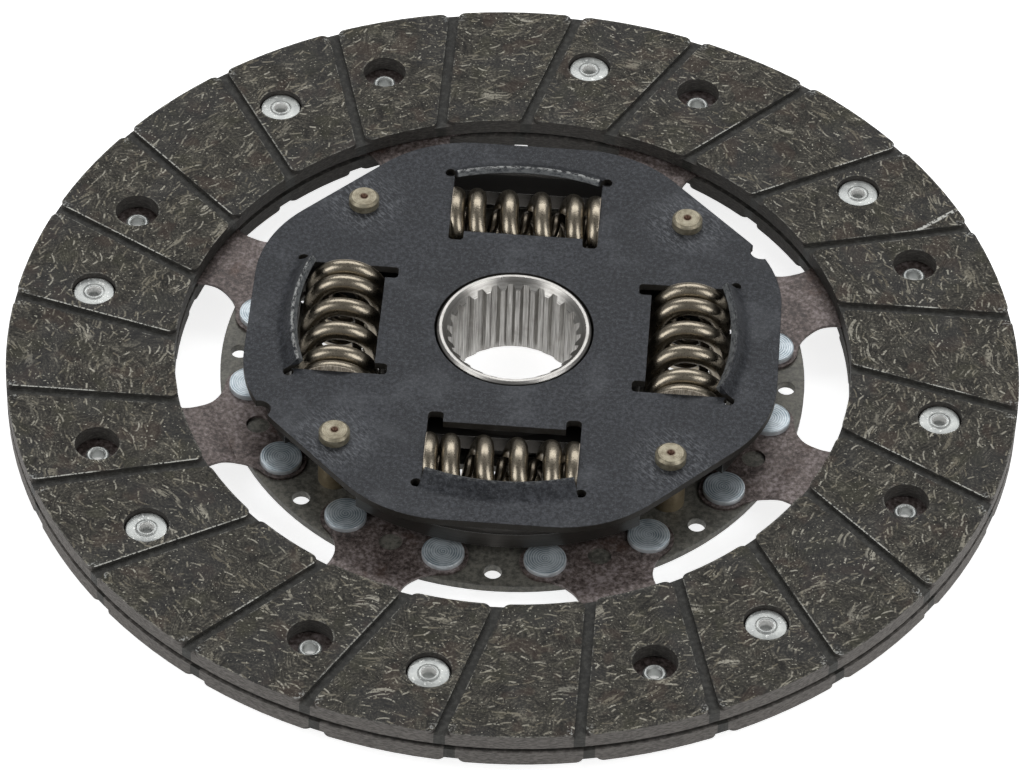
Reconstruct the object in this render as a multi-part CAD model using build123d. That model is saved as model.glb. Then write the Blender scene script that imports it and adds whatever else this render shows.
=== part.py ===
# A torsion-damped clutch disc: two grooved friction facings riveted to eight springy cushion segments,
# a carrier plate and a cover plate held apart by four stop pins, and between them a splined hub whose
# flange twists against four coil springs.
# Millimetres. The disc lies flat, +Z points to the gearbox side, and the origin is on the hub's axis
# in the plane of the flywheel side friction face. The spring windows lie on the X and Y axes.
import math
import os

from build123d import *

# Friction facings: two rings, each the mirror image of the other but for the turn of their grooves
facing_outer_radius = 114.0
facing_inner_radius = 76.2
facing_thickness = 3.7
groove_count = 24
groove_width = 2.4
groove_depth = 1.0
groove_offset = 22.0  # distance of a groove's centre line from the axis
groove_mouth_radius = 1.8  # rounding of the pads where a groove opens at an edge
flywheel_groove_turn = 1.1  # degrees that the flywheel side grooves run ahead of the others

# Cushion segments: thin spring steel, waved so that the two facings spring apart
segment_count = 8
segment_thickness = 0.7
segment_wave = 0.7  # how far the side zones of a segment stand above its middle zone
segment_step = 0.5  # how far the fan stands above the foot
segment_step_run = 3.4  # length of the ramp from the foot to the fan
segment_step_margin = 0.4  # from the ramp's end to the nearest corner of the fan
segment_first_angle = 22.5
fan_inner_margin = 0.8  # from the inner edge of the facings to that of the fan
fan_outer_radius = 112.0
fan_gap_angle = 1.0  # between neighbouring segments
middle_zone_half_width = 10.5
wave_ramp_width = 4.5
neck_half_width = 8.8
neck_hollow_radius = 9.0  # each flank of the neck is one hollow arc that runs out of the foot
foot_corner_radius = 5.6
foot_hole_radius = 2.65
foot_hole_circle_radius = 60.0

# Rivets that hold the facings
facing_rivet_circle_radius = 97.0
gearbox_rivet_angle = 38.3  # first rivet whose head lies in the gearbox side facing
flywheel_rivet_angle = 22.3  # first rivet whose head lies in the flywheel side facing
rivet_seat_radius = 5.0
rivet_ledge = 1.5  # facing left under a rivet's head
facing_rivet_head_radius = 4.65
facing_rivet_head_height = 1.1
facing_rivet_rim_radius = 2.3
facing_rivet_rim_height = 0.25
facing_rivet_shank_radius = 2.1
facing_rivet_bore_radius = 1.55
facing_rivet_roll_radius = 2.6
facing_rivet_roll_height = 1.0

# Rivets that hold the segments on the carrier plate
segment_rivet_circle_radius = 59.5
segment_rivet_half_angle = 11.65  # to each side of a segment's centre line
segment_rivet_head_radius = 4.7
segment_rivet_head_height = 1.2
segment_rivet_shank_radius = 2.6
rivet_hole_clearance = 0.05

# Carrier plate and cover plate
plate_thickness = 1.8
plate_gap = 11.4
carrier_radius = 66.0
carrier_hole_radius = 2.0
carrier_hole_circle_radius = 61.9
cover_flat_distance = 59.6  # from the axis to the flats of the eight-sided outline
cover_corner_radius = 30.0
cover_bore_radius = 17.9
cover_notch_angle = 29.0
cover_notch_radius = 2.6
cover_notch_circle_radius = 62.2

# Spring windows of both plates, with a bent lip over each spring
window_count = 4
window_length = 34.0
window_inner = 30.2  # from the axis to the straight inner edge
window_relief_width = 3.4
window_relief_depth = 2.9
window_relief_round = 0.9
lip_bend_radius = 52.6  # where the plate starts to bend
lip_half_angle = 19.2
lip_slope = 46.0
lip_rise = 2.9
lip_thickness = 1.6  # the metal is stretched thinner there
lip_root_width = 2.5
lip_inner_round = 3.0
lip_relief_hole_radius = 1.2
lip_relief_hole_angle = 20.2
lip_relief_hole_circle_radius = 52.3

# Coil springs: an outer one in each window and a lighter one of the opposite hand inside it
spring_centre_radius = 39.1
spring_wire = 4.2
spring_mean_radius = 7.1
spring_half_turns = 12
spring_tip_sink = 1.0  # the wire's centre starts this far beyond the ground end
spring_end_climb = 1.9  # along the spring, in the first and the last half turn
spring_closing_climb = 2.43  # in each of the two half turns next to those
spring_end_play = 0.02
inner_spring_wire = 2.2
inner_spring_mean_radius = 3.5
inner_spring_half_turns = 14
inner_spring_tip_sink = 0.55
inner_spring_end_climb = 1.0
inner_spring_closing_climb = 1.3

# Stop pins
pin_circle_radius = 52.4
pin_first_angle = 45.0
pin_barrel_radius = 3.6
pin_shank_radius = 2.6
pin_head_radius = 3.45
pin_head_height = 2.35
pin_head_round = 0.6
pin_dimple_radius = 0.85
pin_dimple_depth = 1.0

# Splined hub with its flange
hub_radius = 17.35
hub_above_middle = 7.9
hub_below_middle = 14.5
hub_edge_chamfer = 0.5
spline_teeth = 26
spline_minor_radius = 14.0
spline_major_radius = 15.0
spline_flank_angle = 30.0
spline_lead_radius = 16.2  # mouth of the conical lead-in at both ends
flange_radius = 57.8
flange_thickness = 4.0
flange_root_round = 1.2
same_radius_tolerance = 0.01  # for picking out the circular edges at the flange's root
flange_window_clearance = 1.0  # between a spring and the flange, inwards and outwards
flange_window_round = 0.9
twist_limit = 8.0  # degrees to each side
stop_clearance = 0.3
notch_floor_clearance = 0.7

# Friction stack round the hub
washer_inner_radius = 19.0
washer_outer_radius = 28.0
washer_running_gap = 0.05
cup_spring_thickness = 0.6
cup_spring_cone = 0.9
cup_spring_width = 4.8
bush_radius = 20.3
bush_running_clearance = 0.08
bush_collar_clearance = 0.7  # from the collar to the inner edge of the cup spring
bush_collar_height = 0.8
bush_tail = 0.3

# Heights that follow from the sizes above
carrier_top = facing_thickness - segment_step
carrier_bottom = carrier_top - plate_thickness
cover_bottom = carrier_top + plate_gap
cover_top = cover_bottom + plate_thickness
middle = carrier_top + plate_gap / 2
upper_facing_bottom = facing_thickness + segment_thickness + segment_wave
pack_thickness = upper_facing_bottom + facing_thickness
hub_top = middle + hub_above_middle
hub_bottom = middle - hub_below_middle
flange_top = middle + flange_thickness / 2
flange_bottom = middle - flange_thickness / 2

# Sizes and angles that follow from them
segment_pitch = 360 / segment_count
window_pitch = 360 / window_count
fan_inner_radius = facing_inner_radius + fan_inner_margin
fan_half_angle = (segment_pitch - fan_gap_angle) / 2
fan_corner_distance = fan_inner_radius * math.cos(math.radians(fan_half_angle))
segment_step_end = fan_corner_distance - segment_step_margin
segment_step_start = segment_step_end - segment_step_run
cup_spring_inner_radius = washer_outer_radius - cup_spring_width
bush_collar_radius = cup_spring_inner_radius - bush_collar_clearance
reach = 2 * facing_outer_radius  # longer than anything that it cuts


def polar(radius, degrees):
    angle = math.radians(degrees)
    return radius * math.cos(angle), radius * math.sin(angle)


def turned(shape, degrees):
    return Rot(0, 0, degrees) * shape


def cylinder(radius, low, high, centre=(0, 0)):
    return extrude(Pos(centre[0], centre[1], low) * Circle(radius), amount=high - low)


def turned_profile(points):
    return revolve(Plane.XZ * make_face(Polyline(*points, close=True)), axis=Axis.Z)


def at_circle(shape, radius, degrees):
    x, y = polar(radius, degrees)
    return Pos(x, y, 0) * shape


def turned_over(shape):
    # The mirror image on the other side of the facing pack
    return mirror(shape, about=Plane.XY.offset(pack_thickness / 2))


# Friction facings


def friction_facing(seat_angle, pocket_angle, groove_turn):
    # The facing on the gearbox side. Rivet heads lie in its seats, rivet tails stand in its pockets
    ring = Circle(facing_outer_radius) - Circle(facing_inner_radius)
    groove = Pos(facing_outer_radius / 2, groove_offset) * Rectangle(facing_outer_radius * 1.2, groove_width)
    groove = turned(groove, groove_turn)
    grooves = Sketch() + [turned(groove, k * 360 / groove_count) for k in range(groove_count)]
    pads = ring - grooves
    pads = fillet(pads.vertices(), groove_mouth_radius)
    floor = pack_thickness - groove_depth
    facing = extrude(Pos(0, 0, upper_facing_bottom) * ring, amount=floor - upper_facing_bottom)
    facing += extrude(Pos(0, 0, floor) * pads, amount=groove_depth)
    ledge = upper_facing_bottom + rivet_ledge
    hole = facing_rivet_shank_radius + rivet_hole_clearance
    for k in range(segment_count):
        seat = polar(facing_rivet_circle_radius, seat_angle + k * segment_pitch)
        pocket = polar(facing_rivet_circle_radius, pocket_angle + k * segment_pitch)
        facing -= cylinder(rivet_seat_radius, ledge, pack_thickness, seat)
        facing -= cylinder(hole, upper_facing_bottom, ledge, seat)
        facing -= cylinder(rivet_seat_radius, upper_facing_bottom, pack_thickness, pocket)
    return facing


def facing_gearbox_side():
    return friction_facing(gearbox_rivet_angle, flywheel_rivet_angle, 0)


def facing_flywheel_side():
    return turned_over(friction_facing(flywheel_rivet_angle, gearbox_rivet_angle, flywheel_groove_turn))


# Cushion segments, drawn with the centre line along +X


def segment_outline():
    corner = polar(reach, fan_half_angle)
    sector = make_face(Polyline((0, 0), corner, (corner[0], -corner[1]), close=True))
    fan = (Circle(fan_outer_radius) - Circle(fan_inner_radius)) & sector
    rivet_x, rivet_y = polar(segment_rivet_circle_radius, segment_rivet_half_angle)
    foot = Pos(rivet_x, 0) * Rot(0, 0, 90) * SlotCenterToCenter(2 * rivet_y, 2 * foot_corner_radius)
    hollow_y = neck_half_width + neck_hollow_radius
    hollow_distance = foot_corner_radius + neck_hollow_radius
    hollow_x = rivet_x + math.sqrt(hollow_distance**2 - (hollow_y - rivet_y) ** 2)
    neck_end = fan_inner_radius + segment_thickness
    half = [(rivet_x, rivet_y), (hollow_x, hollow_y), (neck_end, hollow_y)]
    other_half = [(x, -y) for x, y in reversed(half)]
    neck = make_face(Polyline(*half, *other_half, close=True))
    for side in (1, -1):
        neck -= Pos(hollow_x, side * hollow_y) * Circle(neck_hollow_radius)
    return fan + foot + neck


def segment_sheet():
    top = segment_thickness
    low = carrier_top
    high = facing_thickness
    side_profile = [
        (0, low),
        (segment_step_start, low),
        (segment_step_end, high),
        (reach, high),
        (reach, high + top),
        (segment_step_end, high + top),
        (segment_step_start, low + top),
        (0, low + top),
    ]
    profile = Plane.XZ * make_face(Polyline(*side_profile, close=True))
    middle_strip = extrude(profile, amount=middle_zone_half_width, both=True)
    foot_width = segment_rivet_circle_radius / 2
    foot = extrude(profile, amount=foot_width, both=True)
    foot &= Pos(segment_step_start / 2, 0, 0) * Box(segment_step_start, reach, reach)
    ramp_end = middle_zone_half_width + wave_ramp_width
    wave_profile = [
        (middle_zone_half_width, high),
        (ramp_end, high + segment_wave),
        (reach, high + segment_wave),
        (reach, high + segment_wave + top),
        (ramp_end, high + segment_wave + top),
        (middle_zone_half_width, high + top),
    ]
    wave = Plane.YZ.offset(segment_step_end) * make_face(Polyline(*wave_profile, close=True))
    side_zone = extrude(wave, amount=reach)
    return middle_strip + foot + side_zone + mirror(side_zone, about=Plane.XZ)


def cushion_segment():
    blank = extrude(segment_outline(), amount=pack_thickness)
    segment = segment_sheet() & blank
    hole = facing_rivet_shank_radius + rivet_hole_clearance
    for angle in (gearbox_rivet_angle, flywheel_rivet_angle):
        centre = polar(facing_rivet_circle_radius, angle - segment_first_angle)
        segment -= cylinder(hole, 0, pack_thickness, centre)
    hole = segment_rivet_shank_radius + rivet_hole_clearance
    for side in (1, -1):
        centre = polar(segment_rivet_circle_radius, side * segment_rivet_half_angle)
        segment -= cylinder(hole, 0, pack_thickness, centre)
    segment -= cylinder(foot_hole_radius, 0, pack_thickness, (foot_hole_circle_radius, 0))
    return segment


# Rivets


def facing_rivet(seat_height):
    # A hollow rivet, head up: its head lies on the facing's ledge, its rolled tail under the segment
    head_top = seat_height + facing_rivet_head_height
    rim_top = head_top + facing_rivet_rim_height
    tail_top = seat_height - rivet_ledge - segment_thickness
    tail_bottom = tail_top - facing_rivet_roll_height
    bore = facing_rivet_bore_radius
    shank = facing_rivet_shank_radius
    roll = facing_rivet_roll_radius
    rim = facing_rivet_rim_radius
    edge = facing_rivet_rim_height
    outline = [
        (bore, tail_bottom + edge),
        (shank, tail_bottom),
        (roll - edge, tail_bottom),
        (roll, tail_bottom + edge),
        (roll, tail_top),
        (shank, tail_top),
        (shank, seat_height),
        (facing_rivet_head_radius, seat_height),
        (facing_rivet_head_radius, head_top - edge),
        (facing_rivet_head_radius - edge, head_top),
        (rim + edge, head_top),
        (rim, rim_top),
        (bore + edge, rim_top),
        (bore, head_top),
    ]
    return turned_profile(outline)


def facing_rivets(first_angle):
    rivet = facing_rivet(upper_facing_bottom + rivet_ledge)
    angles = [first_angle + k * segment_pitch for k in range(segment_count)]
    return [at_circle(rivet, facing_rivet_circle_radius, angle) for angle in angles]


def facing_rivets_gearbox_side():
    return facing_rivets(gearbox_rivet_angle)


def facing_rivets_flywheel_side():
    return [turned_over(rivet) for rivet in facing_rivets(flywheel_rivet_angle)]


def segment_rivets():
    head = segment_rivet_head_radius
    shank = segment_rivet_shank_radius
    top = carrier_top + segment_thickness
    edge = segment_rivet_head_height / 4
    outline = [
        (0, carrier_bottom - segment_rivet_head_height),
        (head - edge, carrier_bottom - segment_rivet_head_height),
        (head, carrier_bottom - segment_rivet_head_height + edge),
        (head, carrier_bottom),
        (shank, carrier_bottom),
        (shank, top),
        (head, top),
        (head, top + segment_rivet_head_height - edge),
        (head - edge, top + segment_rivet_head_height),
        (0, top + segment_rivet_head_height),
    ]
    rivet = turned_profile(outline)
    rivets = []
    for k in range(segment_count):
        for side in (1, -1):
            angle = segment_first_angle + k * segment_pitch + side * segment_rivet_half_angle
            rivets.append(at_circle(rivet, segment_rivet_circle_radius, angle))
    return rivets


# Carrier plate and cover plate


def window_cut(low, high):
    # One spring window on +X, with relief notches at its inner corners and holes at the ends of its lip
    half = window_length / 2
    opening = Pos((window_inner + reach) / 2, 0) * Rectangle(reach - window_inner, window_length)
    opening &= Circle(lip_bend_radius)
    notch = Rectangle(2 * window_relief_depth, window_relief_width)
    notch = fillet(notch.vertices(), window_relief_round)
    for side in (1, -1):
        opening += Pos(window_inner, side * (half - window_relief_width / 2)) * notch
        hole = polar(lip_relief_hole_circle_radius, side * lip_relief_hole_angle)
        opening += Pos(*hole) * Circle(lip_relief_hole_radius)
    return extrude(Pos(0, 0, low) * opening, amount=high - low)


def window_lip():
    # The strip outside the window, bent up over the spring. Its profile is that of the cover plate
    slope = math.radians(lip_slope)
    run = lip_rise / math.tan(slope)
    crest = (lip_bend_radius - run, cover_top + lip_rise)
    tip = (crest[0] - lip_thickness * math.sin(slope), crest[1] - lip_thickness * math.cos(slope))
    inner_bend = (tip[0] + (tip[1] - cover_bottom) / math.tan(slope), cover_bottom)
    root = lip_bend_radius + lip_root_width
    outline = [
        (root, cover_bottom),
        inner_bend,
        tip,
        crest,
        (lip_bend_radius, cover_top),
        (root, cover_top),
    ]
    face = make_face(Polyline(*outline, close=True))
    bend = face.vertices().sort_by(lambda v: abs(v.X - lip_bend_radius) + abs(v.Y - cover_top))[0]
    face = fillet(bend, lip_inner_round)
    bend = face.vertices().sort_by(lambda v: abs(v.X - inner_bend[0]) + abs(v.Y - inner_bend[1]))[0]
    face = fillet(bend, lip_inner_round + plate_thickness)
    lip = revolve(Plane.XZ * face, axis=Axis.Z, revolution_arc=2 * lip_half_angle)
    return turned(lip, -lip_half_angle)


def with_windows(plate, low, high, lip):
    for k in range(window_count):
        plate -= turned(window_cut(low, high), k * window_pitch)
    for k in range(window_count):
        plate += turned(lip, k * window_pitch)
    hole = pin_shank_radius + rivet_hole_clearance
    for k in range(window_count):
        plate -= cylinder(hole, low, high, polar(pin_circle_radius, pin_first_angle + k * window_pitch))
    return plate


def cover_plate():
    sides = 2 * window_count
    outline = RegularPolygon(cover_flat_distance, sides, major_radius=False, rotation=180 / sides)
    outline = fillet(outline.vertices(), cover_corner_radius)
    outline -= Circle(cover_bore_radius)
    for turn in (0, 180):
        notch = polar(cover_notch_circle_radius, cover_notch_angle + turn)
        outline -= Pos(*notch) * Circle(cover_notch_radius)
    plate = extrude(Pos(0, 0, cover_bottom) * outline, amount=plate_thickness)
    return with_windows(plate, cover_bottom, cover_top, window_lip())


def carrier_plate():
    plate = cylinder(carrier_radius, carrier_bottom, carrier_top) - cylinder(
        bush_radius, carrier_bottom, carrier_top
    )
    hole = segment_rivet_shank_radius + rivet_hole_clearance
    for k in range(segment_count):
        centre_line = segment_first_angle + k * segment_pitch
        for side in (1, -1):
            centre = polar(segment_rivet_circle_radius, centre_line + side * segment_rivet_half_angle)
            plate -= cylinder(hole, carrier_bottom, carrier_top, centre)
        centre = polar(carrier_hole_circle_radius, k * segment_pitch)
        plate -= cylinder(carrier_hole_radius, carrier_bottom, carrier_top, centre)
    lip = mirror(window_lip(), about=Plane.XY.offset(middle))
    return with_windows(plate, carrier_bottom, carrier_top, lip)


# Stop pins


def stop_pin():
    low_head = carrier_bottom - pin_head_height
    high_head = cover_top + pin_head_height
    head = pin_head_radius
    edge = pin_head_round
    outline = [
        (0, low_head + pin_dimple_depth),
        (pin_dimple_radius, low_head),
        (head - edge, low_head),
        (head, low_head + edge),
        (head, carrier_bottom),
        (pin_shank_radius, carrier_bottom),
        (pin_shank_radius, carrier_top),
        (pin_barrel_radius, carrier_top),
        (pin_barrel_radius, cover_bottom),
        (pin_shank_radius, cover_bottom),
        (pin_shank_radius, cover_top),
        (head, cover_top),
        (head, high_head - edge),
        (head - edge, high_head),
        (pin_dimple_radius, high_head),
        (0, high_head - pin_dimple_depth),
    ]
    return at_circle(turned_profile(outline), pin_circle_radius, pin_first_angle)


# Coil springs


def wire_arc(start, end, side, wire):
    # Half a turn of wire as half a ring, in a plane that leans so that it climbs from start to end
    centre = (start + end) * 0.5
    section = Plane(origin=start, z_dir=(side, 0, 0)) * Circle(wire / 2)
    lean = (start - centre).cross(Vector(side, 0, 0)).normalized()
    return revolve(section, axis=Axis(centre, lean), revolution_arc=180)


def coil_spring(wire, mean_radius, half_turns, tip_sink, end_climb, closing_climb, hand):
    # The spring stands on the origin along +Z, its ends ground flat, and is then laid in its window on +X
    length = window_length - 2 * spring_end_play
    closing = [end_climb, closing_climb, closing_climb]
    open_half_turns = half_turns - 2 * len(closing)
    open_climb = (length + 2 * tip_sink - 2 * sum(closing)) / open_half_turns
    height = -tip_sink
    start = Vector(0, -mean_radius, height)
    side = hand
    coil = Part()
    for climb in closing + [open_climb] * open_half_turns + closing[::-1]:
        height += climb
        end = Vector(0, -start.Y, height)
        coil += wire_arc(start, end, side, wire)
        start = end
        side = -side
    coil &= cylinder(2 * mean_radius, 0, length)
    laid = Plane(origin=(spring_centre_radius, -length / 2, middle), x_dir=(-1, 0, 0), z_dir=(0, 1, 0))
    return laid * coil


def damper_spring():
    return coil_spring(
        spring_wire,
        spring_mean_radius,
        spring_half_turns,
        spring_tip_sink,
        spring_end_climb,
        spring_closing_climb,
        1,
    )


def inner_spring():
    return coil_spring(
        inner_spring_wire,
        inner_spring_mean_radius,
        inner_spring_half_turns,
        inner_spring_tip_sink,
        inner_spring_end_climb,
        inner_spring_closing_climb,
        -1,
    )


# Splined hub with its flange


def spline_bore():
    pitch_radius = (spline_minor_radius + spline_major_radius) / 2
    depth = spline_major_radius - spline_minor_radius
    pitch_half = math.pi * pitch_radius / spline_teeth / 2
    taper = depth / 2 * math.tan(math.radians(spline_flank_angle))
    inside = spline_minor_radius - depth
    wide = pitch_half + 3 * taper
    narrow = pitch_half - taper
    corners = [
        (inside, -wide),
        (spline_major_radius, -narrow),
        (spline_major_radius, narrow),
        (inside, wide),
    ]
    space = make_face(Polyline(*corners, close=True))
    spaces = [turned(space, k * 360 / spline_teeth) for k in range(spline_teeth)]
    outline = Sketch() + [Circle(spline_minor_radius)] + spaces
    bore = extrude(Pos(0, 0, hub_bottom) * outline, amount=hub_top - hub_bottom)
    lead = spline_lead_radius - spline_minor_radius
    cone = [
        (0, hub_top),
        (spline_lead_radius, hub_top),
        (spline_minor_radius, hub_top - lead),
        (0, hub_top - lead),
    ]
    upper_lead = turned_profile(cone)
    halfway = (hub_top + hub_bottom) / 2
    return bore + upper_lead + mirror(upper_lead, about=Plane.XY.offset(halfway))


def flange_outline():
    outline = Circle(flange_radius)
    reach_in = spring_mean_radius + spring_wire / 2 + flange_window_clearance
    window = Rectangle(2 * reach_in, window_length)
    window = fillet(window.vertices(), flange_window_round)
    half_pin = math.degrees(math.asin((pin_barrel_radius + stop_clearance) / pin_circle_radius))
    half_notch = twist_limit + half_pin
    floor = pin_circle_radius - pin_barrel_radius - notch_floor_clearance
    near = [polar(floor, side * half_notch) for side in (1, -1)]
    far = [polar(reach, side * half_notch) for side in (-1, 1)]
    notch = make_face(Polyline(*near, *far, close=True))
    for k in range(window_count):
        outline -= turned(Pos(spring_centre_radius, 0) * window, k * window_pitch)
        outline -= turned(notch, pin_first_angle + k * window_pitch)
    return outline


def hub_flange():
    shaft = [
        (0, hub_bottom),
        (hub_radius - hub_edge_chamfer, hub_bottom),
        (hub_radius, hub_bottom + hub_edge_chamfer),
        (hub_radius, hub_top - hub_edge_chamfer),
        (hub_radius - hub_edge_chamfer, hub_top),
        (0, hub_top),
    ]
    hub = turned_profile(shaft)
    hub += extrude(Pos(0, 0, flange_bottom) * flange_outline(), amount=flange_thickness)
    roots = hub.edges().filter_by(GeomType.CIRCLE)
    roots = roots.filter_by(lambda e: abs(e.radius - hub_radius) < same_radius_tolerance)
    roots = roots.filter_by(lambda e: abs(e.center().Z - middle) < flange_thickness)
    hub = fillet(roots, flange_root_round)
    return hub - spline_bore()


# Friction stack round the hub


def friction_washer_gearbox_side():
    low = flange_top + washer_running_gap
    high = cover_bottom
    return cylinder(washer_outer_radius, low, high) - cylinder(washer_inner_radius, low, high)


def friction_washer_flywheel_side():
    low = carrier_top + cup_spring_thickness + cup_spring_cone
    high = flange_bottom - washer_running_gap
    return cylinder(washer_outer_radius, low, high) - cylinder(washer_inner_radius, low, high)


def cup_spring():
    outline = [
        (washer_outer_radius, carrier_top),
        (washer_outer_radius, carrier_top + cup_spring_thickness),
        (cup_spring_inner_radius, carrier_top + cup_spring_thickness + cup_spring_cone),
        (cup_spring_inner_radius, carrier_top + cup_spring_cone),
    ]
    return turned_profile(outline)


def centring_bush():
    bore = hub_radius + bush_running_clearance
    outline = [
        (bore, carrier_bottom - bush_tail),
        (bush_radius, carrier_bottom - bush_tail),
        (bush_radius, carrier_top),
        (bush_collar_radius, carrier_top),
        (bush_collar_radius, carrier_top + bush_collar_height),
        (bore, carrier_top + bush_collar_height),
    ]
    return turned_profile(outline)


def write(name, shape):
    solids = []
    for item in shape if isinstance(shape, list) else [shape]:
        solids.extend(item.solids())
    whole = solids[0] if len(solids) == 1 else Compound(children=solids)
    whole.label = name
    export_step(whole, f"parts/{name}.step")


def main():
    os.makedirs("parts", exist_ok=True)
    write("facing_gearbox_side", facing_gearbox_side())
    write("facing_flywheel_side", facing_flywheel_side())
    write("facing_rivets_gearbox_side", facing_rivets_gearbox_side())
    write("facing_rivets_flywheel_side", facing_rivets_flywheel_side())
    segment = cushion_segment()
    for k in range(segment_count):
        write(f"cushion_segment_{k + 1}", turned(segment, segment_first_angle + k * segment_pitch))
    write("segment_rivets", segment_rivets())
    write("carrier_plate", carrier_plate())
    write("cover_plate", cover_plate())
    spring = damper_spring()
    core = inner_spring()
    pin = stop_pin()
    for k in range(window_count):
        write(f"damper_spring_{k + 1}", turned(spring, k * window_pitch))
        write(f"inner_spring_{k + 1}", turned(core, k * window_pitch))
        write(f"stop_pin_{k + 1}", turned(pin, k * window_pitch))
    write("hub_flange", hub_flange())
    write("friction_washer_gearbox_side", friction_washer_gearbox_side())
    write("friction_washer_flywheel_side", friction_washer_flywheel_side())
    write("cup_spring", cup_spring())
    write("centring_bush", centring_bush())


main()
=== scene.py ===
import math
from functools import reduce

import bmesh
import bpy
from mathutils import Matrix, Vector


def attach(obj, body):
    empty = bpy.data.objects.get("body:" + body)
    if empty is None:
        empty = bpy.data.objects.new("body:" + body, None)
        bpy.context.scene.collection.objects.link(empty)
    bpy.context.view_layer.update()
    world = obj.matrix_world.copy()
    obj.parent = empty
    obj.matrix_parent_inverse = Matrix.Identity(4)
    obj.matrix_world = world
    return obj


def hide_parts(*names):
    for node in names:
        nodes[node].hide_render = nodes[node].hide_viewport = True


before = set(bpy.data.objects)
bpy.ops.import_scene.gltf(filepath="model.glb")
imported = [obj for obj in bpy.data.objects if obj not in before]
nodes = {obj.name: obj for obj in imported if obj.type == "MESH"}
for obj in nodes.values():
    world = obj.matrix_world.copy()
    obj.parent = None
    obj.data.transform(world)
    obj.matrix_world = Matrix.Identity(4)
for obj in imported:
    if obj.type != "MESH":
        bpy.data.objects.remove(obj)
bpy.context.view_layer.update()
print("frame loaded:", len(nodes), "nodes")

mm = 0.001
fullTurn = 2 * math.pi
edgeFinding = {"samples": 3, "range": (0.02, 0.22)}  # how far two normals differ at an edge


def linear(value):
    value = value / 255
    return value / 12.92 if value <= 0.04045 else ((value + 0.055) / 1.055) ** 2.4


def tint(red, green, blue):
    # a colour as it looks on a screen, 0 to 255
    return (linear(red), linear(green), linear(blue), 1.0)


class Wire:
    # one socket of a node tree, usable in ordinary arithmetic
    def __init__(self, tree, socket):
        self.tree = tree
        self.socket = socket

    def math(self, operation, *values):
        return self.tree.node("ShaderNodeMath", {"operation": operation}, dict(enumerate(values)))

    def __add__(self, other):
        return self.math("ADD", self, other)

    def __radd__(self, other):
        return self.math("ADD", other, self)

    def __sub__(self, other):
        return self.math("SUBTRACT", self, other)

    def __rsub__(self, other):
        return self.math("SUBTRACT", other, self)

    def __mul__(self, other):
        return self.math("MULTIPLY", self, other)

    def __rmul__(self, other):
        return self.math("MULTIPLY", other, self)

    def __truediv__(self, other):
        return self.math("DIVIDE", self, other)

    def __rtruediv__(self, other):
        return self.math("DIVIDE", other, self)

    def __mod__(self, other):
        return self.math("FLOORED_MODULO", self, other)

    def __abs__(self):
        return self.math("ABSOLUTE", self)

    def sin(self):
        return self.math("SINE", self)

    def cos(self):
        return self.math("COSINE", self)

    def asin(self):
        return self.math("ARCSINE", self)

    def root(self):
        return self.math("SQRT", self)

    def rounded(self):
        return self.math("ROUND", self)

    def floor(self):
        return self.math("FLOOR", self)

    def most(self, other):
        return self.math("MAXIMUM", self, other)

    def least(self, other):
        return self.math("MINIMUM", self, other)

    def rise(self, low, high):
        # 0 below low and 1 above high, or the other way round where high is the smaller
        return self.tree.node(
            "ShaderNodeMapRange",
            {"interpolation_type": "SMOOTHSTEP", "clamp": True},
            {"Value": self, "From Min": low, "From Max": high},
        )

    def swing(self, amount):
        # a noise's swing to either side of its middle
        return (self - 0.5) * amount


def distance(across, along):
    return (across * across + along * along).root()


class Tree:
    def __init__(self, nodeTree):
        self.nodeTree = nodeTree

    def node(self, kind, settings=None, inputs=None, out=0):
        made = self.nodeTree.nodes.new(kind)
        for name, value in (settings or {}).items():
            if name == "stops":
                self.setStops(made.color_ramp, value)
            else:
                setattr(made, name, value)
        for name, value in (inputs or {}).items():
            if isinstance(value, Wire):
                self.nodeTree.links.new(value.socket, made.inputs[name])
            elif value is not None:
                made.inputs[name].default_value = value
        return Wire(self, made.outputs[out]) if len(made.outputs) else None

    def setStops(self, ramp, stops):
        while len(ramp.elements) > 1:
            ramp.elements.remove(ramp.elements[-1])
        for number, (place, colour) in enumerate(stops):
            stop = ramp.elements[0] if number == 0 else ramp.elements.new(place)
            stop.position = place
            stop.color = colour

    def other(self, wire, name):
        # another output of the same node
        return Wire(self, wire.socket.node.outputs[name])


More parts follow.
